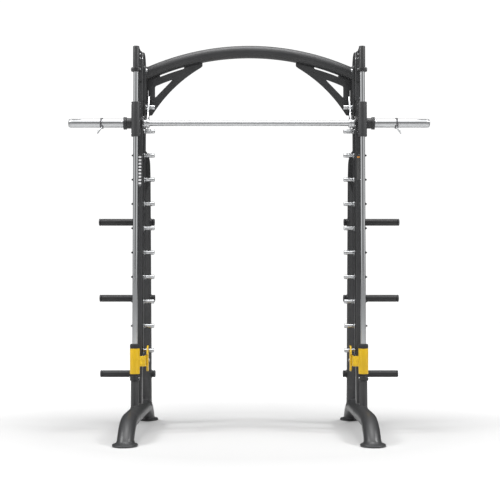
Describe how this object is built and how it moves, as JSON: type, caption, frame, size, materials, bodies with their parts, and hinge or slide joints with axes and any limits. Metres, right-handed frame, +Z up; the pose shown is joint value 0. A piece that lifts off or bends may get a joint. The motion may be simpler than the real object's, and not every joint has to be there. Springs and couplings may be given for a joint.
{
  "type": "smith machine",
  "caption": "Smith machine: barbell guided on chrome rods in an arched steel frame, with hooks that catch rails of pegs, yellow safety stops and weight-storage horns.",
  "frame": {"origin": "on the floor, midway between the four feet", "axes": "+X across the machine to the user's right, +Y from front to back, +Z up"},
  "size_m": [2.0596, 1.437, 2.2355],
  "materials": {
    "frame_paint": "satin charcoal grey powder coat",
    "dark_paint": "satin black",
    "chrome": "polished",
    "safety_yellow": "gloss yellow powder coat",
    "black_rubber": "matt",
    "bearing_nylon": "matt"
  },
  "bodies": {
    "frame": {"arch_mount_plate_left": "frame_paint", "arch_mount_plate_right": "frame_paint", "arch_tube": "frame_paint", "base_tube_left": "frame_paint", "base_tube_right": "frame_paint", "column_left": "frame_paint", "column_right": "frame_paint", "foot_front_left": "frame_paint", "foot_front_right": "frame_paint", "foot_rear_left": "frame_paint", "foot_rear_right": "frame_paint", "guide_rod_left": "chrome", "guide_rod_right": "chrome", "gusset_left": "frame_paint", "gusset_right": "frame_paint", "peg_rail_left": "chrome", "peg_rail_right": "chrome", "rear_brace_left": "frame_paint", "rear_brace_right": "frame_paint", "rod_ring_bottom_left": "dark_paint", "rod_ring_bottom_right": "dark_paint", "rod_ring_top_left": "dark_paint", "rod_ring_top_right": "dark_paint", "rod_socket_bottom_left": "frame_paint", "rod_socket_bottom_right": "frame_paint", "rod_socket_top_left": "frame_paint", "rod_socket_top_right": "frame_paint", "storage_horn_1_left": "dark_paint", "storage_horn_1_right": "dark_paint", "storage_horn_2_left": "dark_paint", "storage_horn_2_right": "dark_paint", "storage_horn_3_left": "dark_paint", "storage_horn_3_right": "dark_paint", "top_peg_left": "chrome", "top_peg_right": "chrome"},
    "carriages": {"bush_lower_left": "bearing_nylon", "bush_lower_right": "bearing_nylon", "bush_upper_left": "bearing_nylon", "bush_upper_right": "bearing_nylon", "carriage_left": "frame_paint", "carriage_right": "frame_paint", "flange_bearing_left": "dark_paint", "flange_bearing_right": "dark_paint"},
    "barbell": {"bar_end_cap_left": "dark_paint", "bar_end_cap_right": "dark_paint", "bar_hook_left": "chrome", "bar_hook_right": "chrome", "bar_shaft": "chrome", "bar_sleeve_left": "chrome", "bar_sleeve_right": "chrome"},
    "collar_left": {"spring_collar_left": "chrome"},
    "stop_left": {"stop_sleeve_left": "safety_yellow", "stop_ring_left": "black_rubber"},
    "stop_hook_left": {"stop_hook_left": "safety_yellow"},
    "collar_right": {"spring_collar_right": "chrome"},
    "stop_right": {"stop_sleeve_right": "safety_yellow", "stop_ring_right": "black_rubber"},
    "stop_hook_right": {"stop_hook_right": "safety_yellow"}
  },
  "joints": [
    {"name": "bar_slide", "type": "slide", "parent": "frame", "child": "carriages", "axis": [0, 0, 1], "range_m": [-1.1272, 0.17]},
    {"name": "bar_turn", "type": "hinge", "parent": "carriages", "child": "barbell", "pos_m": [0, -0.0215, 1.7495], "axis": [1, 0, 0], "range_deg": [-16, 24]},
    {"name": "collar_slide_left", "type": "slide", "parent": "barbell", "child": "collar_left", "axis": [-1, 0, 0], "range_m": [-0.11, 0.16]},
    {"name": "stop_slide_left", "type": "slide", "parent": "frame", "child": "stop_left", "axis": [0, 0, 1], "range_m": [0, 1.1272]},
    {"name": "stop_hook_turn_left", "type": "hinge", "parent": "stop_left", "child": "stop_hook_left", "pos_m": [-0.58, 0.0745, 0.4], "axis": [1, 0, 0], "range_deg": [-25, 0]},
    {"name": "collar_slide_right", "type": "slide", "parent": "barbell", "child": "collar_right", "axis": [1, 0, 0], "range_m": [-0.11, 0.16]},
    {"name": "stop_slide_right", "type": "slide", "parent": "frame", "child": "stop_right", "axis": [0, 0, 1], "range_m": [0, 1.1272]},
    {"name": "stop_hook_turn_right", "type": "hinge", "parent": "stop_right", "child": "stop_hook_right", "pos_m": [0.58, 0.0745, 0.4], "axis": [1, 0, 0], "range_deg": [-25, 0]}
  ]
}
